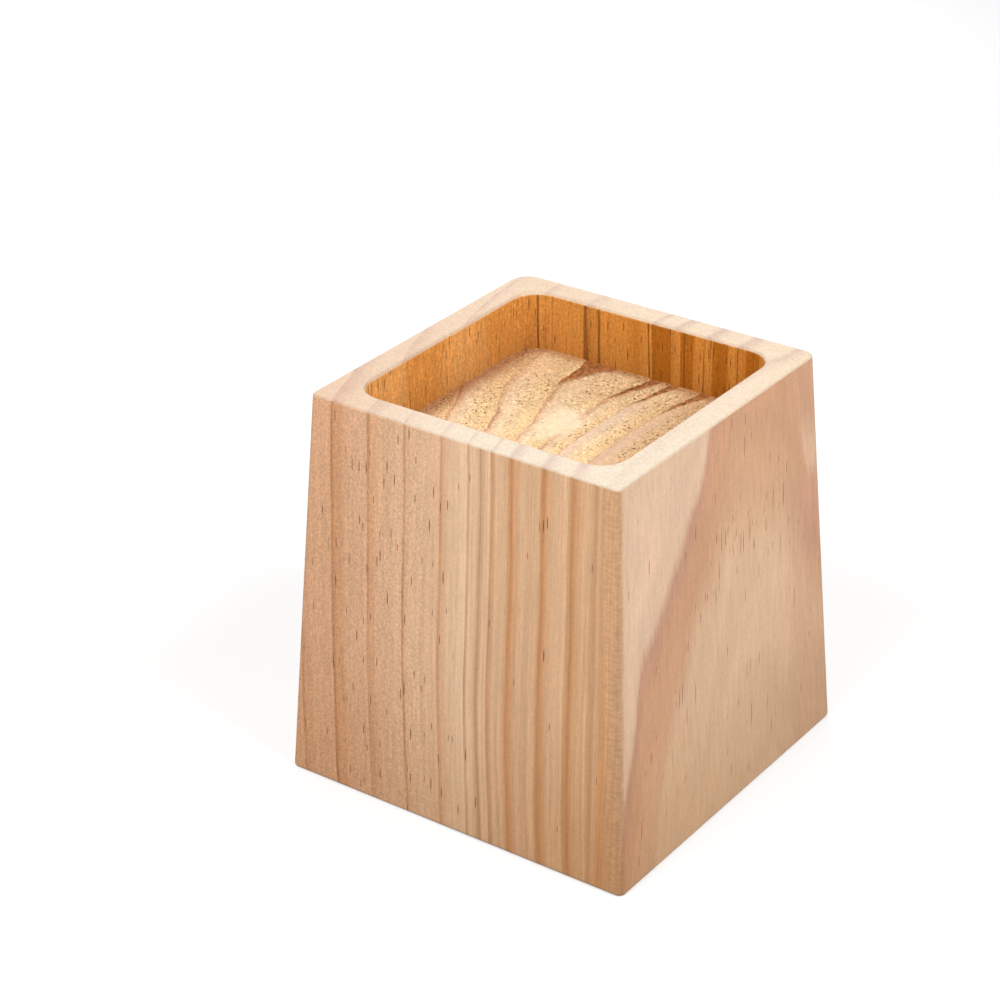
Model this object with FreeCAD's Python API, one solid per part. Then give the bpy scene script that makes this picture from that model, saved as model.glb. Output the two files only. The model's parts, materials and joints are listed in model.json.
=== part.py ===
"""Tapered bed riser: one block of pine with a square recess in its top for the foot of a furniture leg.

The origin is the centre of the face that stands on the floor, and +Z points up through the recess.
"""

import os

import FreeCAD
import Part

# Driving dimensions, in millimetres
LIFT = 85.0                  # from the floor to the seat that the leg stands on
RECESS_DEPTH = 15.0          # from the seat up to the rim
RECESS_SIDE = 70.0           # across the recess, from wall to wall
RECESS_CORNER_RADIUS = 7.0   # the router's radius in the upright corners of the recess
RIM_WIDTH = 7.0              # from a recess wall to the outside of the block, at the rim
FLARE = 6.0                  # how far each side spreads outwards between the rim and the floor
ARRIS_RADIUS = 3.0           # the four sloping corner edges
RIM_EASE = 0.6               # sanded edge round the outside of the rim
MOUTH_EASE = 1.0             # sanded edge round the mouth of the recess
BASE_EASE = 1.0              # sanded edge round the face that stands on the floor

# Sizes that follow from them
HEIGHT = LIFT + RECESS_DEPTH
RIM_SIDE = RECESS_SIDE + 2.0 * RIM_WIDTH
BASE_SIDE = RIM_SIDE + 2.0 * FLARE

# Two heights closer than this are the same height
SAME_HEIGHT = 1e-4


def tapered_prism():
    """The square block with flat sloping sides, before any edge is eased."""
    base, rim = BASE_SIDE / 2.0, RIM_SIDE / 2.0
    prism = Part.makeWedge(-base, 0.0, -base, -rim, -rim, base, HEIGHT, base, rim, rim)
    prism.rotate(FreeCAD.Vector(0, 0, 0), FreeCAD.Vector(1, 0, 0), 90)
    return prism


def level_edges(shape, height):
    """The edges of a shape that lie flat at one height."""

    def is_level(edge):
        box = edge.BoundBox
        return abs(box.ZMin - height) < SAME_HEIGHT and abs(box.ZMax - height) < SAME_HEIGHT

    return [edge for edge in shape.Edges if is_level(edge)]


def sloping_edges(shape):
    """The edges of a shape that climb from the floor to the rim."""
    return [edge for edge in shape.Edges if edge.BoundBox.ZLength > HEIGHT - SAME_HEIGHT]


def tapered_blank():
    """The block before its recess is cut, with its outer edges eased."""
    prism = tapered_prism()
    blank = prism.makeFillet(ARRIS_RADIUS, sloping_edges(prism))
    blank = blank.makeFillet(BASE_EASE, level_edges(blank, 0.0))
    return blank.makeFillet(RIM_EASE, level_edges(blank, HEIGHT))


def recess_cutter():
    """The space that the router clears: a square pocket with round upright corners."""
    corner = FreeCAD.Vector(-RECESS_SIDE / 2.0, -RECESS_SIDE / 2.0, LIFT)
    pocket = Part.makeBox(RECESS_SIDE, RECESS_SIDE, RECESS_DEPTH, corner)
    upright = [edge for edge in pocket.Edges if edge.BoundBox.ZLength > RECESS_DEPTH - SAME_HEIGHT]
    return pocket.makeFillet(RECESS_CORNER_RADIUS, upright)


def mouth_edges(block):
    """The edges where the recess walls meet the rim."""
    mouth = recess_cutter().BoundBox
    mouth.enlarge(SAME_HEIGHT)
    return [edge for edge in level_edges(block, HEIGHT) if mouth.isInside(edge.BoundBox)]


def riser_block():
    """The finished riser, in one piece."""
    block = tapered_blank().cut(recess_cutter())
    block = block.makeFillet(MOUTH_EASE, mouth_edges(block))
    return block.Solids[0]


def main():
    os.makedirs("parts", exist_ok=True)
    riser_block().exportStep("parts/riser_block.step")


main()
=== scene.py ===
"""Looks of a tapered pine bed riser: one block of wood with a square recess routed into its top.

The frame is in metres. The block's own sizes and its growth rings are written in millimetres.
"""

import json
import math
from bisect import bisect_right

import bmesh
import bpy
from mathutils import Euler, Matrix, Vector, noise


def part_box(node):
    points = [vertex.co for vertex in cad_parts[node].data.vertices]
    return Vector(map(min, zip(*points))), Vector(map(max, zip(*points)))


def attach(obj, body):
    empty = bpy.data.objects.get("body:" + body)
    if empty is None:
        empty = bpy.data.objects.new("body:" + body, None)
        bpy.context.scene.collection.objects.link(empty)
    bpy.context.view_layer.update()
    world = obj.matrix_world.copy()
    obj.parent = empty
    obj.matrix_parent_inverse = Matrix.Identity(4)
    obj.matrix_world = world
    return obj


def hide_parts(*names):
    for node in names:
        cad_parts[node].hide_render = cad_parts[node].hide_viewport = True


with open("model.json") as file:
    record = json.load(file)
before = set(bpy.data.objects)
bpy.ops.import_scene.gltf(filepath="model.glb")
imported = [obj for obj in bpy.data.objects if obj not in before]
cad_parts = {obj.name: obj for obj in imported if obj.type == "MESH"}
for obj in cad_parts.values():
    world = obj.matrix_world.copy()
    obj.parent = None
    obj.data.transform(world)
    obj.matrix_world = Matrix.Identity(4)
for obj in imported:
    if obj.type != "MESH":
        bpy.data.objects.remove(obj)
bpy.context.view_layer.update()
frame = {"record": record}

# Sizes of the block, in millimetres
MM = 0.001
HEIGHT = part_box("riser_block")[1].z / MM
SEAT = next(m for m in frame["record"]["mounts"] if m["name"] == "leg_seat")["pos_m"][2] / MM
RECESS_SIDE = 70.0
RECESS_CORNER = 7.0
RIM_WIDTH = 7.0
FLARE = 6.0
RIM_SIDE = RECESS_SIDE + 2 * RIM_WIDTH
BASE_SIDE = RIM_SIDE + 2 * FLARE
RIM_EASE = 0.6
MOUTH_EASE = 1.0
BASE_EASE = 1.0
# The radius that the sander left on each sloping edge, at the rim and at the foot, by the side
# of X and Y that the edge is on
ARRISES = {(-1, -1): (1.5, 1.5), (1, -1): (1.1, 1.9), (1, 1): (3.0, 3.0), (-1, 1): (5.0, 5.0)}
CORNER_STEPS = 8
EASE_STEPS = 4
FLOOR_MESH = 0.3
# The rough seat: how high its ridges and fuzz stand, and how deep its torn pits are
RIDGE_HEIGHT = 0.3
FUZZ_HEIGHT = 0.3
PIT_DEPTH = 0.35
TINY = 1e-4

# Growth rings, in millimetres. The bark lies towards -X and the pith towards +X.
# Each ring starts at a place on the X axis of the front edge of the rim, where its dark
# latewood line has its sharp side. The other numbers say how dark the line is, how strong
# the tan band behind it is, and how wide the band is.
RINGS = (
    (-68.0, 0.5, 0.4, 4.0),
    (-57.0, 0.5, 0.4, 4.0),
    (-46.0, 0.4, 0.3, 4.0),
    (-36.4, 0.6, 0.5, 6.0),
    (-25.9, 0.5, 0.35, 5.0),
    (-15.7, 0.7, 0.2, 3.0),
    (-5.6, 0.42, 0.35, 2.6),
    (2.0, 0.5, 0.3, 1.6),
    (8.4, 0.4, 0.7, 2.0),
    (13.0, 0.25, 1.0, 4.4),
    (21.4, 0.25, 1.0, 4.6),
    (29.1, 0.2, 0.9, 5.0),
    (38.4, 0.2, 0.8, 5.0),
    (46.0, 0.0, 0.0, 2.4),
    (54.0, 0.5, 0.6, 4.0),
    (64.0, 0.5, 0.6, 4.0),
)
# Faint lines between the rings: how dark, by ring place
FAINT_LINES = (
    (4.9, 0.0), (5.9, 0.95), (6.9, 0.0), (10.5, 0.0), (11.0, 0.3), (12.0, 0.0), (18.5, 0.0), (19.2, 0.25),
    (20.4, 0.0), (35.2, 0.0), (36.7, 0.6), (38.2, 0.0),
)
# How far the rings stand off their places on the front edge at each Y: near the bark, in the
# middle and near the pith. Between these columns of X the bows blend.
BARK_BOW = (
    (-50, 1.2), (-42, 0.0), (-26, -5.6), (-14, -10.5), (-4, -14.4), (-1, -15.4), (3, -17.8),
    (15, -22.0), (35, -25.0), (50, -26.0),
)
MIDDLE_BOW = ((-50, 1.3), (-42, 0.0), (-26, -5.0), (-10, -8.8), (10, -9.4), (35, -6.6), (50, -4.8))
PITH_BOW = (
    (-50, 2.0), (-45, 0.6), (-42, 0.0), (-39.6, -0.5), (-37, -1.1), (-32, -1.55), (-26, -1.95), (-20, -2.33),
    (-15.5, -2.7), (-9.5, -3.2), (-4, -4.0), (10, -4.8), (25, -4.6), (31, -4.0), (34, -2.8), (36.5, -2.1),
    (41, -1.95), (44.5, -1.7), (50, -0.8),
)
BARK_TO_MIDDLE = (-30.0, 6.0)
MIDDLE_TO_PITH = (10.0, 44.0)
# How far the rings lean towards +X at each Z. The lean dies out next to the +X side.
LEAN = ((0, 1.3), (12, 0.7), (28, 0.1), (44, -0.2), (60, -0.1), (76, 0.0), (100, 0.0))
# The ring places and band widths that fit in a colour ramp, whose values run from 0 to 1
RING_REACH = 70.0
WIDEST_BAND = 10.0
# Slow waves in the rings: how large, and how long along X, Y and Z
WAVES = ((0.15, 14.0, 60.0, 16.0), (0.05, 5.0, 9.0, 6.0))

# The camera that took in the block, in metres and degrees
CAMERA_PLACE = (0.327141, -0.479780, 0.374911)
CAMERA_TURN = (62.0577, 0.5086, 35.5698)
CAMERA_LENS = 100.23
CAMERA_SENSOR = 36.0


def plain_curve(points):
    """A float curve through given points, as a node in a group of its own, for use in mesh code."""
    group = bpy.data.node_groups.new("curve", "ShaderNodeTree")
    made = group.nodes.new("ShaderNodeFloatCurve")
    draw_curve(made, points)
    return made


def draw_curve(made, points, handles="AUTO_CLAMPED"):
    """Draw a smooth curve through points in a Float Curve node."""
    mapping = made.mapping
    mapping.use_clip = False
    mapping.extend = "HORIZONTAL"
    curve = mapping.curves[0]
    while len(curve.points) < len(points):
        curve.points.new(0.0, 0.0)
    for spot, place in zip(curve.points, sorted(points)):
        spot.location = place
        spot.handle_type = handles
    mapping.update()
    mapping.initialize()


def smoothstep(low, high, value):
    share = min(max((value - low) / (high - low), 0.0), 1.0)
    return share * share * (3.0 - 2.0 * share)


class Bench:
    """Wires the nodes of one material. A method returns the socket that holds its result."""

    def __init__(self, name):
        self.material = bpy.data.materials.new(name)
        self.material.use_nodes = True
        self.tree = self.material.node_tree
        self.shader = self.tree.nodes["Principled BSDF"]

    def feed(self, socket, value):
        """Link a socket to a result, or set it to a number or colour."""
        if isinstance(value, bpy.types.NodeSocket):
            self.tree.links.new(value, socket)
        else:
            socket.default_value = value

    def add(self, kind, inputs, result=0, **settings):
        made = self.tree.nodes.new(kind)
        for key, value in settings.items():
            setattr(made, key, value)
        for socket, value in inputs.items():
            self.feed(made.inputs[socket], value)
        return made.outputs[result]

    def math(self, operation, first, second=0.0, third=0.0):
        return self.add("ShaderNodeMath", {0: first, 1: second, 2: third}, operation=operation)

    def product(self, first, *others):
        for other in others:
            first = self.math("MULTIPLY", first, other)
        return first

    def step(self, value, low, high):
        """Rises smoothly from 0 to 1 between two values. It falls where low is the larger."""
        if low > high:
            return self.math("SUBTRACT", 1.0, self.step(value, high, low))
        inputs = {"Value": value, "From Min": low, "From Max": high}
        return self.add("ShaderNodeMapRange", inputs, interpolation_type="SMOOTHSTEP")

    def spread(self, value, given, wanted):
        """A number moved from one range to another."""
        (low, high), (start, end) = given, wanted
        inputs = {"Value": value, "From Min": low, "From Max": high, "To Min": start, "To Max": end}
        return self.add("ShaderNodeMapRange", inputs)

    def blend(self, share, first, second):
        """A number between two others."""
        return self.add("ShaderNodeMix", {0: share, 2: first, 3: second}, data_type="FLOAT")

    def paint(self, share, under, over, mode="MIX"):
        """A colour laid over another."""
        inputs = {0: share, 6: colour(under), 7: colour(over)}
        return self.add("ShaderNodeMix", inputs, 2, data_type="RGBA", blend_type=mode)

    def dim(self, under, tone):
        """A colour times a number."""
        grey = self.add("ShaderNodeCombineColor", {0: tone, 1: tone, 2: tone})
        return self.paint(1.0, under, grey, "MULTIPLY")

    def shade(self, under, clouds, dark, light):
        """A colour made darker and lighter by soft noise."""
        return self.dim(under, self.spread(clouds, (0.25, 0.75), (dark, light)))

    def split(self, vector):
        made = self.tree.nodes.new("ShaderNodeSeparateXYZ")
        self.feed(made.inputs[0], vector)
        return made.outputs[0], made.outputs[1], made.outputs[2]

    def stretch(self, place, factors):
        return self.add("ShaderNodeVectorMath", {0: place, 1: factors}, operation="MULTIPLY")

    def clouds(self, place, factors, detail=2.0, roughness=0.5):
        """Soft noise, with so many waves to the millimetre along each axis."""
        waves = self.stretch(place, factors)
        inputs = {"Vector": waves, "Scale": 1.0, "Detail": detail, "Roughness": roughness}
        return self.add("ShaderNodeTexNoise", inputs)

    def dashes(self, along, up, cell, size, chance):
        """Spots on a flat pattern, one at most in a cell, of mixed sizes up to a share of the cell."""
        flat = self.add("ShaderNodeCombineXYZ", {0: along, 1: up})
        spots = self.tree.nodes.new("ShaderNodeTexVoronoi")
        spots.voronoi_dimensions = "2D"
        self.feed(spots.inputs["Vector"], self.stretch(flat, (1 / cell[0], 1 / cell[1], 0.0)))
        spots.inputs["Scale"].default_value = 1.0
        lot = self.add("ShaderNodeSeparateColor", {0: spots.outputs["Color"]}, 0)
        other = self.add("ShaderNodeSeparateColor", {0: spots.outputs["Color"]}, 1)
        radius = self.spread(other, (0.0, 1.0), (0.5 * size, size))
        reach = self.math("DIVIDE", spots.outputs["Distance"], radius)
        return self.product(self.step(reach, 1.0, 0.5), self.math("LESS_THAN", lot, chance))

    def curve(self, value, points, handles="AUTO_CLAMPED"):
        made = self.tree.nodes.new("ShaderNodeFloatCurve")
        draw_curve(made, points, handles)
        self.feed(made.inputs["Value"], value)
        return made.outputs[0]

    def ramp(self, value, stops, interpolation="LINEAR"):
        """The ramp node through colours at places from 0 to 1."""
        made = self.tree.nodes.new("ShaderNodeValToRGB")
        made.color_ramp.interpolation = interpolation
        elements = made.color_ramp.elements
        while len(elements) < len(stops):
            elements.new(1.0)
        for element, (at, tint) in zip(elements, stops):
            element.position = at
            element.color = tint
        self.feed(made.inputs["Fac"], value)
        return made

    def tints(self, value, stops):
        """A colour that runs through tints as a number grows."""
        low, high = stops[0][0], stops[-1][0]
        across = self.spread(value, (low, high), (0.0, 1.0))
        places = [((at - low) / (high - low), colour(tint)) for at, tint in stops]
        return self.ramp(across, places).outputs["Color"]


def colour(value):
    """A colour with its alpha, or a socket as it is."""
    return value if isinstance(value, bpy.types.NodeSocket) else (*value, 1.0)


def srgb(red, green, blue):
    """A screen colour of 0 to 255 as scene-linear light."""
    def linear(level):
        share = level / 255.0
        return share / 12.92 if share <= 0.04045 else ((share + 0.055) / 1.055) ** 2.4
    return (linear(red), linear(green), linear(blue))


# The growth rings as mesh code sees them

bows = [plain_curve(points) for points in (BARK_BOW, MIDDLE_BOW, PITH_BOW)]


def ring_place(x, y, z):
    """Where the ring through a point meets the X axis of the front edge of the rim, in millimetres."""
    bark, middle, pith = (bow.mapping.evaluate(bow.mapping.curves[0], y) for bow in bows)
    bow = bark + (middle - bark) * smoothstep(*BARK_TO_MIDDLE, x)
    bow += (pith - middle) * smoothstep(*MIDDLE_TO_PITH, x)
    wave = sum(size * math.sin(x / in_x + y / in_y + z / in_z) for size, in_x, in_y, in_z in WAVES)
    return x - bow + wave


def ring_at(place):
    """The ring at a place, how many millimetres it is past the ring's line, and what share of the ring."""
    starts = [ring[0] for ring in RINGS]
    at = min(max(bisect_right(starts, place) - 1, 0), len(RINGS) - 2)
    past = place - starts[at]
    return RINGS[at], past, past / (starts[at + 1] - starts[at])


# The block

def bevel(mesh, edges, width, steps):
    """Round some edges off. The corners that this makes are returned."""
    made = bmesh.ops.bevel(
        mesh, geom=edges, offset=width, offset_type="OFFSET", segments=steps, profile=0.5,
        affect="EDGES", material=-1, clamp_overlap=False,
    )
    return made["verts"]


def is_level(item, height):
    return all(abs(corner.co.z - height) < TINY for corner in item.verts)


def in_recess(item):
    reach = RECESS_SIDE / 2 + TINY
    return all(max(abs(corner.co.x), abs(corner.co.y)) < reach for corner in item.verts)


def is_outer(edge):
    """True for an edge between the rim and a side."""
    return any(not is_level(face, HEIGHT) for face in edge.link_faces) and not in_recess(edge)


def upright(mesh, test):
    """The edges that climb, among those that pass a test."""
    return [e for e in mesh.edges if abs(e.verts[0].co.z - e.verts[1].co.z) > 1.0 and test(e)]


def tapered_sides(mesh):
    """The underside and the four sloping sides, open at the rim."""
    for corner in bmesh.ops.create_cube(mesh, size=1.0)["verts"]:
        top = corner.co.z > 0
        half = (RIM_SIDE if top else BASE_SIDE) / 2
        height = HEIGHT if top else 0.0
        corner.co = (math.copysign(half, corner.co.x), math.copysign(half, corner.co.y), height)
    for (side_x, side_y), (at_rim, at_foot) in ARRISES.items():
        arris = upright(mesh, lambda e: all(v.co.x * side_x > 0 and v.co.y * side_y > 0 for v in e.verts))
        sharp = Vector((side_x * RIM_SIDE / 2, side_y * RIM_SIDE / 2, HEIGHT))
        for corner in bevel(mesh, arris, at_foot, CORNER_STEPS):
            if corner.co.z > HEIGHT / 2:
                corner.co = sharp + (corner.co - sharp) * (at_rim / at_foot)
    lid = [face for face in mesh.faces if is_level(face, HEIGHT)]
    bmesh.ops.delete(mesh, geom=lid, context="FACES_ONLY")


def routed_recess(mesh):
    """The walls and floor of the recess, open at its mouth."""
    for corner in bmesh.ops.create_cube(mesh, size=1.0)["verts"]:
        half = RECESS_SIDE / 2
        height = HEIGHT if corner.co.z > 0 else SEAT
        corner.co = (math.copysign(half, corner.co.x), math.copysign(half, corner.co.y), height)
    bevel(mesh, upright(mesh, in_recess), RECESS_CORNER, CORNER_STEPS)
    lid = [face for face in mesh.faces if is_level(face, HEIGHT)]
    bmesh.ops.delete(mesh, geom=lid, context="FACES_ONLY")


def rim(mesh):
    """The flat rim between the mouth and the sides, with every level edge eased."""
    loops = [edge for edge in mesh.edges if edge.is_boundary]
    bmesh.ops.bridge_loops(mesh, edges=loops)
    bmesh.ops.recalc_face_normals(mesh, faces=mesh.faces)
    bevel(mesh, [edge for edge in loops if in_recess(edge)], MOUTH_EASE, EASE_STEPS)
    outside = [e for e in mesh.edges if is_level(e, HEIGHT) and e.is_manifold and is_outer(e)]
    bevel(mesh, outside, RIM_EASE, EASE_STEPS)
    bevel(mesh, [edge for edge in mesh.edges if is_level(edge, 0.0)], BASE_EASE, EASE_STEPS)


def slices(mesh, faces, axis, half, width):
    """Cut flat faces into strips square to an axis."""
    ahead = faces
    for count in range(1, round(2 * half / width)):
        at = count * width - half
        pieces = {part for face in ahead for part in (face, *face.edges, *face.verts)}
        cut = bmesh.ops.bisect_plane(mesh, geom=list(pieces), plane_co=axis * at, plane_no=axis, dist=TINY)
        parts = [part for part in cut["geom"] if isinstance(part, bmesh.types.BMFace)]
        ahead = [face for face in parts if face.calc_center_median().dot(axis) > at]


def seat_faces(mesh):
    return [face for face in mesh.faces if is_level(face, SEAT)]


def torn_floor(mesh):
    """The rough end grain that the router left: ridges on the latewood, and torn pits between them."""
    slices(mesh, seat_faces(mesh), Vector((1, 0, 0)), RECESS_SIDE / 2, FLOOR_MESH)
    slices(mesh, seat_faces(mesh), Vector((0, 1, 0)), RECESS_SIDE / 2, FLOOR_MESH)
    torn = mesh.verts.layers.float.new("torn")
    seat = {corner for face in seat_faces(mesh) for corner in face.verts}
    inner = [corner for corner in seat if all(is_level(face, SEAT) for face in corner.link_faces)]
    reliefs = [floor_relief(corner.co) for corner in inner]
    for corner, (height, pit) in zip(inner, reliefs):
        corner.co.z += height
        corner[torn] = pit


def floor_relief(place):
    """How far the floor stands up at a place, and how deep it is torn there, from 0 to 1."""
    (_, line, _, width), past, share = ring_at(ring_place(place.x, place.y, place.z))
    ridge = RIDGE_HEIGHT * line * (smoothstep(0.0, 0.4, past) * (1.0 - smoothstep(0.4, width, past)) - 0.15)
    fuzz = FUZZ_HEIGHT * (noise.turbulence(place * 1.3, 3, False) - 0.5)
    gate = smoothstep(0.25, 0.5, noise.noise(place * 0.11) * 0.5 + 0.5) * smoothstep(0.25, 0.6, share)
    nearest = noise.voronoi(place * 1.05)[0][0]
    pit = gate * (1.0 - smoothstep(0.1, 0.3, nearest))
    return ridge + fuzz - PIT_DEPTH * pit, pit


def pine_block():
    mesh = bmesh.new()
    tapered_sides(mesh)
    routed_recess(mesh)
    rim(mesh)
    torn_floor(mesh)
    bmesh.ops.scale(mesh, vec=(MM, MM, MM), verts=mesh.verts)
    for face in mesh.faces:
        face.smooth = True
    data = bpy.data.meshes.new("pine_block")
    mesh.to_mesh(data)
    mesh.free()
    data.set_sharp_from_angle(angle=math.radians(40))
    block = bpy.data.objects.new("pine_block", data)
    bpy.context.scene.collection.objects.link(block)
    normals = block.modifiers.new("flat_faces", "WEIGHTED_NORMAL")
    normals.keep_sharp = True
    return block


# The wood

# Tints of the pale earlywood from the bark to the pith, by ring place: on the sides that cut
# across the rings, and on those that run along them
RIFT_TINTS = (
    (-60, srgb(229, 179, 141)), (-37, srgb(228, 178, 141)), (-26, srgb(231, 185, 149)),
    (-10, srgb(235, 194, 158)), (-5, srgb(233, 190, 154)), (-2, srgb(238, 201, 166)),
    (2, srgb(238, 201, 166)), (14, srgb(230, 188, 150)), (30, srgb(230, 188, 149)),
    (38, srgb(228, 183, 141)), (60, srgb(228, 183, 141)),
)
FLAT_TINTS = (
    (40, srgb(234, 200, 171)), (45.8, srgb(234, 200, 171)), (46.1, srgb(210, 161, 134)),
    (46.6, srgb(213, 164, 130)), (47.5, srgb(218, 171, 136)), (48.6, srgb(225, 182, 147)),
)
# The ring place at each Y where the pale wood inside the arch begins on the +X side
PALE_EDGE = (
    (-45, 50.5), (-36, 50.0), (-30, 48.6), (-25, 48.0), (-19, 47.8), (-12, 47.45), (-6, 47.9),
    (0, 48.25), (6, 49.0), (12, 48.95), (20, 48.9), (28.8, 48.95), (35, 47.4), (41, 47.6), (45, 47.4),
)
# Tints of the sides
PALE_PINE = srgb(233, 196, 162)
UPPER_PINE = srgb(216, 169, 137)
ROSY_PINE = srgb(214, 164, 141)
BAND_TAN = srgb(206, 143, 90)
LINE_BROWN = srgb(156, 94, 52)
# Sanding hatch by the front edge; on the edge itself it is also painted shade
HANDLED_AND_SHADED_TAN = srgb(226, 180, 139)
FLECK_BROWN = srgb(122, 60, 26)
# Tints of the recess walls. Their amber, deeper and darker than the sides' pine, is painted shade and warm
# bounce light of the recess.
WALL_AMBER = srgb(218, 151, 76)
WALL_BAND = srgb(184, 114, 28)
WALL_LINE = srgb(120, 62, 10)
WALL_FLECK = srgb(104, 48, 14)
# Tints of the rim and the underside. The front and back rim tints are painted light: the front greyer, for
# the sheen that falls there.
RIM_FRONT = srgb(206, 190, 169)
RIM_BACK = srgb(211, 189, 164)
RIM_BAND = srgb(180, 149, 138)
# Tints of the seat: across each ring, from its line to the next one, and of its marks and its painted shade
SEAT_TINTS = (
    (0.0, srgb(219, 176, 137)), (0.12, srgb(228, 192, 157)), (0.35, srgb(237, 208, 172)),
    (0.7, srgb(236, 201, 153)), (1.0, srgb(231, 193, 139)),
)
SEAT_GOLD = srgb(242, 206, 153)
SEAT_SHADED = srgb(210, 172, 126)
SEAT_BAND = srgb(218, 187, 161)
SEAT_STAIN = srgb(196, 142, 92)
SEAT_LINE = srgb(164, 104, 62)
SEAT_GRAINS = srgb(252, 230, 190)
SEAT_CREAM = srgb(238, 216, 184)
SEAT_TAN = srgb(200, 154, 112)
BURNT_AND_SHADED_DARK = srgb(104, 58, 24)
BURNT_AND_SHADED_LIGHT = srgb(172, 104, 48)
SHADE_BY_LEFT_WALL = srgb(158, 92, 38)
SHADE_BY_BACK_WALL = srgb(170, 104, 46)
PIT_BROWN = srgb(112, 58, 20)
# How far from the sharp front edge the handled strip starts and is whole, measured along X
# and Y together: on the front side, and on the edge itself. On the edge the strip is also
# painted shade that damps the lamps' highlight.
HANDLED_STRIP = (4.6, 3.8)
HANDLED_AND_SHADED_EDGE = (2.0, 0.8)
# How many resin flecks there are, by ring place
FLECKS = (
    (-60, 0.24), (-30, 0.24), (-6, 0.2), (-1, 0.1), (8, 0.06), (35, 0.03), (45.8, 0.01),
    (46.4, 0.05), (60, 0.03),
)


def pine():
    """Sanded pine: growth rings through the whole block, fibres, resin flecks and worked end grain."""
    bench = Bench("pine")
    seen = bench.tree.nodes.new("ShaderNodeTexCoord")
    place = bench.stretch(seen.outputs["Object"], (1 / MM, 1 / MM, 1 / MM))
    x, y, z = bench.split(place)
    facing_x, facing_y, facing_z = bench.split(seen.outputs["Normal"])

    ring = rings(bench, place)
    flat_sawn = bench.step(bench.math("ABSOLUTE", facing_x), 0.4, 0.85)
    wood = side_wood(bench, ring, place, flat_sawn)
    # Painted shade: the rounded sloping edges are dimmed by how far they face between X and Y, to damp the
    # lamps' highlight on them.
    arris = bench.math("ABSOLUTE", bench.product(facing_x, facing_y, 2.0))
    wood = bench.dim(wood, bench.spread(arris, (0.2, 1.0), (1.0, 0.86)))
    wall = recess_wall(bench, ring, place)
    end = end_grain(bench, ring, place)
    seat = seat_grain(bench, ring, place)

    level = bench.step(bench.math("ABSOLUTE", facing_z), 0.25, 0.6)
    reach = bench.math("MAXIMUM", bench.math("ABSOLUTE", x), bench.math("ABSOLUTE", y))
    wall_at = RECESS_SIDE / 2
    raised = bench.step(z, SEAT - 2.0, SEAT - 1.0)
    inside = bench.product(bench.step(reach, wall_at + 1.2, wall_at + 0.2), raised)
    low = bench.product(inside, bench.step(z, HEIGHT - 4.0, HEIGHT - 8.0))
    upright_paint = bench.paint(inside, wood, wall)
    level_paint = bench.paint(low, end, seat)
    bench.feed(bench.shader.inputs["Base Color"], bench.paint(level, upright_paint, level_paint))

    fuzz = bench.clouds(place, (1.6, 1.6, 0.3), 3.0, 0.6)
    bench.feed(bench.shader.inputs["Roughness"], bench.spread(fuzz, (0.0, 1.0), (0.45, 0.68)))
    bench.shader.inputs["Specular IOR Level"].default_value = 0.22
    on_seat = bench.product(level, low)
    grit = bench.clouds(place, (2.6, 2.6, 2.6), 4.0, 0.7)
    height = bench.blend(on_seat, fuzz, grit)
    strength = bench.blend(on_seat, 0.2, 1.0)
    bump = bench.add("ShaderNodeBump", {"Strength": strength, "Distance": 0.35 * MM, "Height": height})
    bench.feed(bench.shader.inputs["Normal"], bump)
    return bench.material


def rings(bench, place):
    """The ring at each point: its place, its dark line and tan band, and the lanes that run along it."""
    x, y, z = bench.split(place)
    bark, middle, pith = (bench.curve(y, points) for points in (BARK_BOW, MIDDLE_BOW, PITH_BOW))
    bow = bench.blend(bench.step(x, *BARK_TO_MIDDLE), bark, middle)
    further = bench.math("SUBTRACT", pith, middle)
    bow = bench.math("MULTIPLY_ADD", bench.step(x, *MIDDLE_TO_PITH), further, bow)
    where = bench.math("SUBTRACT", x, bow)
    for size, *lengths in WAVES:
        per_length = [1 / length for length in lengths]
        turn = bench.add("ShaderNodeVectorMath", {0: place, 1: per_length}, 1, operation="DOT_PRODUCT")
        where = bench.math("MULTIPLY_ADD", bench.math("SINE", turn), size, where)
    lean = bench.product(bench.curve(z, LEAN), bench.step(x, 42.0, 36.0))
    where = bench.math("SUBTRACT", where, lean)
    fray = bench.clouds(place, (2.2, 2.2, 0.06), 2.0, 0.6)
    where = bench.math("MULTIPLY_ADD", bench.math("SUBTRACT", fray, 0.5), 0.3, where)
    wander = bench.clouds(place, (0.12, 0.12, 0.02), 1.0, 0.5)
    where = bench.math("MULTIPLY_ADD", bench.math("SUBTRACT", wander, 0.5), 0.9, where)

    count = bench.curve(where, [(start, index) for index, (start, *_) in enumerate(RINGS)], "VECTOR")
    slot = bench.math("DIVIDE", bench.math("ADD", bench.math("FLOOR", count), 0.5), len(RINGS))
    rows = [
        (at / len(RINGS), (line, band, width / WIDEST_BAND, start / (2 * RING_REACH) + 0.5))
        for at, (start, line, band, width) in enumerate(RINGS)
    ]
    looks = bench.ramp(slot, rows, "CONSTANT")
    packed = looks.outputs["Color"]
    line, band, width = (bench.add("ShaderNodeSeparateColor", {0: packed}, part) for part in range(3))
    start = bench.spread(looks.outputs["Alpha"], (0.0, 1.0), (-RING_REACH, RING_REACH))
    past = bench.math("SUBTRACT", where, start)
    patchy = bench.spread(bench.clouds(place, (0.25, 0.25, 0.03)), (0.3, 0.7), (0.4, 1.2))
    near = bench.product(bench.step(past, 0.0, 0.3), bench.step(past, 1.3, 0.3))
    fading = bench.step(bench.math("DIVIDE", past, bench.product(width, WIDEST_BAND)), 1.0, 0.1)
    onset = bench.math("DIVIDE", past, bench.spread(where, (8.0, 13.0), (0.6, 1.6)))
    return {
        "where": where,
        "past": past,
        "share": bench.math("FRACT", count),
        "line": bench.product(line, near, patchy),
        "band": bench.product(band, bench.step(onset, 0.0, 1.0), fading),
        "lane": bench.add("ShaderNodeCombineXYZ", {0: where, 1: y, 2: z}),
    }


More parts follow.
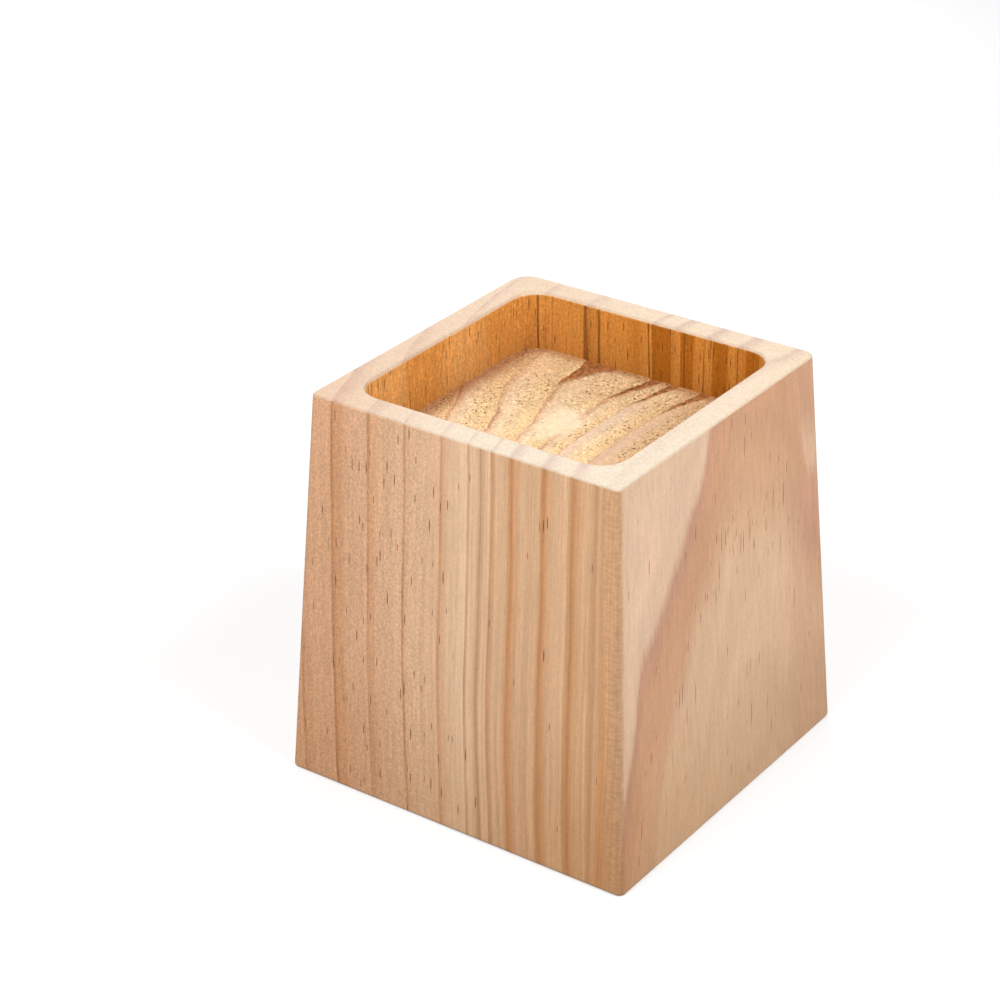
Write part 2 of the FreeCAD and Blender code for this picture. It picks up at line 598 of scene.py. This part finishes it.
def side_wood(bench, ring, place, flat_sawn):
    """Long grain on the sides: tan bands, dark lines, fibres and short dark resin flecks."""
    x, y, z = bench.split(place)
    rift = bench.tints(ring["where"], RIFT_TINTS)
    flat = bench.tints(ring["where"], FLAT_TINTS)
    inner = bench.math("SUBTRACT", ring["where"], bench.curve(y, PALE_EDGE))
    flat = bench.paint(bench.step(inner, -0.45, 0.5), flat, PALE_PINE)
    above = bench.spread(z, (79.0, 88.0), (0.4, 1.0))
    flat = bench.paint(bench.product(bench.step(y, 26.0, 31.0), above), flat, UPPER_PINE)
    rosy = bench.product(bench.step(y, 22.0, 38.0), bench.step(z, 40.0, 58.0), bench.step(z, 76.0, 66.0))
    flat = bench.paint(bench.product(rosy, 0.45), flat, ROSY_PINE)
    wood = bench.paint(flat_sawn, rift, flat)
    across = bench.math("SUBTRACT", 1.0, bench.product(flat_sawn, 0.75))
    wood = bench.paint(bench.product(ring["band"], across), wood, BAND_TAN)
    faint = bench.curve(ring["where"], FAINT_LINES, "VECTOR")
    lines = bench.math("MAXIMUM", ring["line"], bench.product(faint, 0.75))
    wood = bench.paint(bench.product(lines, across, 0.75), wood, LINE_BROWN)

    slope = (BASE_SIDE - RIM_SIDE) / HEIGHT
    outward = bench.math("MULTIPLY_ADD", z, slope, bench.math("SUBTRACT", x, y))
    inset = bench.math("SUBTRACT", BASE_SIDE, outward)
    handled_and_shaded = bench.product(bench.step(inset, *HANDLED_STRIP), bench.math("SUBTRACT", 1.0, flat_sawn))
    # Painted shade: on the edge itself the tan strip also damps the lamps' highlight, besides the sanding
    # hatch.
    handled_and_shaded = bench.math("MAXIMUM", handled_and_shaded, bench.step(inset, *HANDLED_AND_SHADED_EDGE))
    hatch = bench.clouds(place, (0.5, 0.5, 1.7), 2.0, 0.5)
    wood = bench.paint(bench.product(handled_and_shaded, 0.8), wood, HANDLED_AND_SHADED_TAN)
    wood = bench.paint(bench.product(handled_and_shaded, bench.step(hatch, 0.38, 0.64), 0.2), wood, LINE_BROWN)

    wood = bench.shade(wood, bench.clouds(ring["lane"], (0.8, 0.02, 0.006), 3.0, 0.6), 0.88, 1.09)
    streaks = bench.shade(wood, bench.clouds(ring["lane"], (1.5, 0.02, 0.008), 3.0, 0.6), 0.83, 1.13)
    rift_pith = bench.product(bench.step(ring["where"], -4.0, 8.0), bench.math("SUBTRACT", 1.0, flat_sawn))
    wood = bench.paint(rift_pith, wood, streaks)
    wood = bench.shade(wood, bench.clouds(place, (1.4, 1.4, 0.025), 4.0, 0.7), 0.88, 1.1)
    wood = bench.shade(wood, bench.clouds(place, (1.5, 1.5, 1.1), 3.0, 0.7), 0.91, 1.08)
    wood = bench.shade(wood, bench.clouds(place, (0.06, 0.06, 0.03), 2.0, 0.5), 0.96, 1.04)
    coarse = bench.shade(wood, bench.clouds(place, (2.0, 2.0, 1.5), 3.0, 0.8), 0.66, 1.3)
    wood = bench.paint(bench.step(ring["where"], 4.0, -16.0), wood, coarse)

    # Darker towards the foot of the front corner.
    corner = bench.product(bench.step(bench.math("SUBTRACT", x, y), 35.0, 100.0), bench.step(z, 64.0, 0.0))
    wood = bench.paint(corner, wood, (0.96, 0.92, 0.87), "MULTIPLY")
    # Painted shade: the sides darker towards the foot.
    wood = bench.paint(bench.step(z, 45.0, 0.0), wood, (0.87, 0.83, 0.77), "MULTIPLY")

    along = bench.math("ADD", x, y)
    leaning = bench.math("MULTIPLY_ADD", z, -0.05, along)
    arc = bench.product(bench.step(inner, -0.5, -0.2), bench.step(inner, 0.5, 0.1))
    arc = bench.product(arc, bench.step(y, 34.0, 20.0), flat_sawn)
    on_lines = bench.product(ring["line"], across)
    chance = bench.math("MULTIPLY_ADD", on_lines, 0.6, bench.curve(ring["where"], FLECKS))
    chance = bench.math("MULTIPLY_ADD", arc, 0.4, chance)
    short = bench.dashes(leaning, z, (1.0, 11.0), 0.2, chance)
    long = bench.dashes(along, z, (1.2, 24.0), 0.19, bench.product(chance, flat_sawn))
    flecks = bench.product(bench.math("MAXIMUM", short, long), bench.blend(flat_sawn, 0.9, 0.65))
    return bench.paint(flecks, wood, FLECK_BROWN)


def recess_wall(bench, ring, place):
    """The recess walls with ring stripes, in an amber of painted shade that is deeper and darker than the
    sides', darker towards +X and towards the seat, and lighter on the left wall.
    """
    x, y, z = bench.split(place)
    stripes = bench.clouds(ring["lane"], (0.28, 0.01, 0.004), 3.0, 0.6)
    # Towards the pith the dark bands stand a little behind their lines
    past = bench.math("MULTIPLY_ADD", bench.step(ring["where"], 11.0, 14.0), -2.4, ring["past"])
    late = bench.product(bench.step(past, 0.0, 0.4), bench.step(past, 4.2, 3.4))
    late = bench.product(late, bench.step(ring["where"], 5.0, 8.0))
    dark = bench.math("MAXIMUM", late, bench.product(bench.step(stripes, 0.5, 0.72), 0.5))
    # Painted shade: the walls' amber is deeper and darker than the sides', for the shade of the recess.
    wall = bench.paint(dark, WALL_AMBER, WALL_BAND)
    # Painted shade: the walls darker and deeper amber towards +X, into the back-right corner.
    wall = bench.paint(bench.step(x, -62.0, 16.0), wall, (0.9, 0.82, 0.57), "MULTIPLY")
    golden = bench.product(bench.step(y, -16.0, -14.5), bench.step(y, 6.0, -5.0))
    golden = bench.math("MAXIMUM", golden, bench.step(y, 16.5, 18.5))
    on_left = bench.step(x, -31.0, -34.5)
    wall = bench.paint(bench.product(golden, on_left), wall, (0.9, 0.79, 0.58), "MULTIPLY")
    # Painted light: the left wall lighter and paler than the back wall.
    wall = bench.paint(on_left, wall, (1.12, 1.26, 1.75), "MULTIPLY")
    thin = bench.step(bench.clouds(ring["lane"], (1.1, 0.01, 0.01), 1.0, 0.5), 0.66, 0.7)
    lines = bench.math("MAXIMUM", bench.product(thin, 0.75), bench.product(ring["line"], 0.6))
    lines = bench.product(lines, bench.spread(y, (16.0, 32.0), (0.3, 1.0)))
    wall = bench.paint(lines, wall, WALL_LINE)
    wall = bench.shade(wall, bench.clouds(place, (2.0, 2.0, 0.08), 4.0, 0.7), 0.75, 1.2)
    wall = bench.shade(wall, bench.clouds(place, (1.6, 1.2, 1.1), 3.0, 0.7), 0.64, 1.29)
    strokes = bench.shade(wall, bench.clouds(place, (1.1, 1.1, 0.3), 3.0, 0.7), 0.8, 1.2)
    wall = bench.paint(on_left, wall, strokes)
    # Painted shade: the walls darker towards the seat.
    wall = bench.dim(wall, bench.spread(z, (SEAT, HEIGHT - 3.0), (0.78, 1.0)))
    flecks = bench.dashes(bench.math("ADD", x, y), z, (1.2, 10.0), 0.21, 0.34)
    return bench.paint(bench.product(flecks, 0.7), wall, WALL_FLECK)


def end_grain(bench, ring, place):
    """The sanded rim and the underside: pale end grain with grey bands on the latewood."""
    x, y, _ = bench.split(place)
    dark = bench.math("MAXIMUM", bench.product(ring["band"], 0.9), bench.product(ring["line"], 0.7))
    # Painted sheen: the bands are made fainter on the right strip and the front-right corner of the rim.
    sheen_washed = bench.product(bench.step(x, 28.0, 36.0), bench.step(y, 30.0, 12.0))
    depth = bench.spread(ring["where"], (4.0, 14.0), (1.15, 0.8))
    dark = bench.product(dark, bench.blend(sheen_washed, depth, 0.3))
    # Painted light: the rim's tint runs from a greyer front to a warmer back.
    pale = bench.paint(bench.step(y, -38.0, 38.0), RIM_FRONT, RIM_BACK)
    end = bench.paint(dark, pale, RIM_BAND)
    rosy = bench.product(bench.step(x, 5.0, -40.0), bench.spread(y, (-38.0, 35.0), (1.0, 0.33)))
    end = bench.paint(rosy, end, (0.94, 0.79, 0.71), "MULTIPLY")
    end = bench.shade(end, bench.clouds(place, (0.35, 0.35, 0.35), 2.0, 0.6), 0.94, 1.05)
    return bench.shade(end, bench.clouds(place, (1.4, 1.4, 1.4), 3.0, 0.7), 0.83, 1.11)


def seat_grain(bench, ring, place):
    """The floor of the recess: rough end grain with raised latewood, torn pits and scorched patches.

    Painted shade darkens it towards the back wall, along the foot of the left and back walls and in
    the scorched patches; its grains and pits carry painted highlight and shade beside their own speckle.
    """
    x, y, _ = bench.split(place)
    seat = bench.tints(ring["share"], SEAT_TINTS)
    late = bench.step(ring["share"], 0.2, 0.55)
    seat = bench.paint(bench.product(late, bench.step(y, 16.0, -12.0), 0.4), seat, SEAT_GOLD)
    # Painted shade: the seat darker towards the back wall.
    seat = bench.paint(bench.product(bench.step(y, -5.0, 30.0), 0.7), seat, SEAT_SHADED)
    smooth = bench.product(ring["band"], bench.step(ring["where"], 10.0, 13.0), bench.step(y, 26.0, 14.0))
    seat = bench.paint(smooth, seat, SEAT_BAND)
    broken = bench.step(bench.clouds(place, (0.12, 0.12, 0.12)), 0.3, 0.5)
    stain = bench.product(ring["band"], bench.step(ring["where"], 13.0, 10.0), broken, 1.2)
    seat = bench.paint(stain, seat, SEAT_STAIN)
    brown = bench.product(ring["line"], bench.step(ring["past"], 1.1, 0.5), broken)
    seat = bench.paint(brown, seat, SEAT_LINE)

    seat = bench.shade(seat, bench.clouds(place, (0.4, 0.4, 0.4), 2.0, 0.6), 0.93, 1.06)
    seat = bench.shade(seat, bench.clouds(ring["lane"], (1.0, 0.15, 0.1), 3.0, 0.6), 0.86, 1.11)
    # The grains are partly the end grain's own speckle and partly painted highlight and shade of its rough
    # relief.
    rough = bench.shade(seat, bench.clouds(place, (1.4, 1.4, 1.4), 3.0, 0.7), 0.64, 1.28)
    grains = bench.step(bench.clouds(place, (1.6, 1.6, 1.6), 1.0, 0.5), 0.56, 0.68)
    rough = bench.paint(bench.product(grains, 0.55), rough, SEAT_GRAINS)
    seat = bench.paint(bench.math("SUBTRACT", 1.0, bench.product(smooth, 0.7)), seat, rough)

    ragged = bench.math("SUBTRACT", bench.clouds(place, (0.25, 0.25, 0.25), 3.0, 0.6), 0.5)
    offset = bench.add("ShaderNodeVectorMath", {0: place, 1: (-3.5, 3.0, SEAT)}, operation="SUBTRACT")
    offset = bench.stretch(offset, (1 / 5.5, 1 / 9.0, 0.0))
    away = bench.add("ShaderNodeVectorMath", {0: offset}, 1, operation="LENGTH")
    cream = bench.step(bench.math("MULTIPLY_ADD", ragged, 1.8, away), 1.15, 0.55)
    seat = bench.paint(bench.product(cream, 0.8), seat, SEAT_CREAM)

    # The dark patches along the rings by the back wall are partly scorch and torn grain, and partly painted
    # shade of the back wall.
    wedge = bench.math("MULTIPLY_ADD", y, -0.16, ring["past"])
    scorch_and_shade = bench.product(bench.step(wedge, -2.6, -3.5), bench.step(ring["where"], 0.0, 2.0))
    tan_side = bench.product(bench.step(x, 6.0, 18.0), 0.42)
    seat = bench.paint(tan_side, seat, SEAT_TAN)
    mottle = bench.step(bench.clouds(place, (0.8, 0.6, 0.8), 3.0, 0.7), 0.4, 0.6)
    burnt_and_shaded = bench.paint(mottle, BURNT_AND_SHADED_DARK, BURNT_AND_SHADED_LIGHT)
    seat = bench.paint(bench.product(scorch_and_shade, bench.blend(mottle, 0.95, 0.85)), seat, burnt_and_shaded)
    # Painted shade: the seat darker along the foot of the left and back walls.
    seat = bench.paint(bench.product(bench.step(x, -28.0, -35.0), 0.75), seat, SHADE_BY_LEFT_WALL)
    seat = bench.paint(bench.product(bench.step(y, 31.5, 35.0), 0.6), seat, SHADE_BY_BACK_WALL)

    # The dark pits and dots are partly the end grain's own brown and partly painted shade in the torn pits.
    torn = bench.add("ShaderNodeAttribute", {}, "Fac", attribute_name="torn")
    pits = bench.step(bench.clouds(place, (1.5, 1.2, 1.5), 2.0, 0.6), 0.45, 0.34)
    patches = bench.step(bench.clouds(place, (0.11, 0.07, 0.1), 2.0, 0.5), 0.36, 0.56)
    dots = bench.math("MAXIMUM", bench.product(pits, late, patches), bench.product(torn, 0.6))
    bare = bench.math("SUBTRACT", 1.0, bench.math("MAXIMUM", cream, smooth))
    return bench.paint(bench.product(dots, bare, 0.9), seat, PIT_BROWN)


# The studio

def stage():
    """A sheet of white paper. It throws less light up than it shows the camera."""
    bpy.ops.mesh.primitive_plane_add(size=8.0)
    floor = bpy.context.object
    floor.name = "paper"
    bench = Bench("paper")
    path = bench.tree.nodes.new("ShaderNodeLightPath").outputs
    seen = bench.math("MAXIMUM", path["Is Camera Ray"], path["Is Glossy Ray"])
    seen = bench.math("MAXIMUM", seen, path["Is Transmission Ray"])
    bench.feed(bench.shader.inputs["Base Color"], bench.paint(seen, (0.3, 0.25, 0.2), (0.45, 0.45, 0.45)))
    bench.feed(bench.shader.inputs["Emission Color"], (1.0, 1.0, 1.0, 1.0))
    bench.feed(bench.shader.inputs["Emission Strength"], bench.product(seen, 0.52))
    bench.shader.inputs["Specular IOR Level"].default_value = 0.0
    floor.data.materials.append(bench.material)


def softbox(name, place, target, size, energy):
    """A square lamp, in metres and watts, that faces a point."""
    lamp = bpy.data.lights.new(name, "AREA")
    lamp.shape = "SQUARE"
    lamp.size = size
    lamp.energy = energy
    box = bpy.data.objects.new(name, lamp)
    box.location = place
    box.rotation_euler = (Vector(target) - Vector(place)).to_track_quat("-Z", "Y").to_euler()
    bpy.context.scene.collection.objects.link(box)


def lights():
    world = bpy.data.worlds.new("studio")
    bpy.context.scene.world = world
    world.use_nodes = True
    world.node_tree.nodes["Background"].inputs["Color"].default_value = (1, 1, 1, 1)
    world.node_tree.nodes["Background"].inputs["Strength"].default_value = 0.29
    middle = (0.0, 0.0, 0.05)
    softbox("left", (-0.10, -0.42, 0.52), middle, 0.35, 3.05)
    softbox("right", (0.42, 0.02, 0.52), middle, 0.35, 3.15)
    softbox("behind", (-0.70, 1.04, 0.87), middle, 0.8, 4.25)
    softbox("low", (-0.45, 0.45, 0.16), middle, 0.35, 1.3)


def camera():
    lens = bpy.data.cameras.new("camera")
    lens.lens = CAMERA_LENS
    lens.sensor_width = CAMERA_SENSOR
    lens.clip_start = 0.01
    eye = bpy.data.objects.new("camera", lens)
    eye.location = CAMERA_PLACE
    eye.rotation_euler = Euler([math.radians(turn) for turn in CAMERA_TURN])
    bpy.context.scene.collection.objects.link(eye)
    bpy.context.scene.camera = eye


block = pine_block()
block.data.materials.append(pine())
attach(block, "root")
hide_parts("riser_block")
stage()
lights()
camera()
bpy.context.scene.view_settings.view_transform = "Standard"
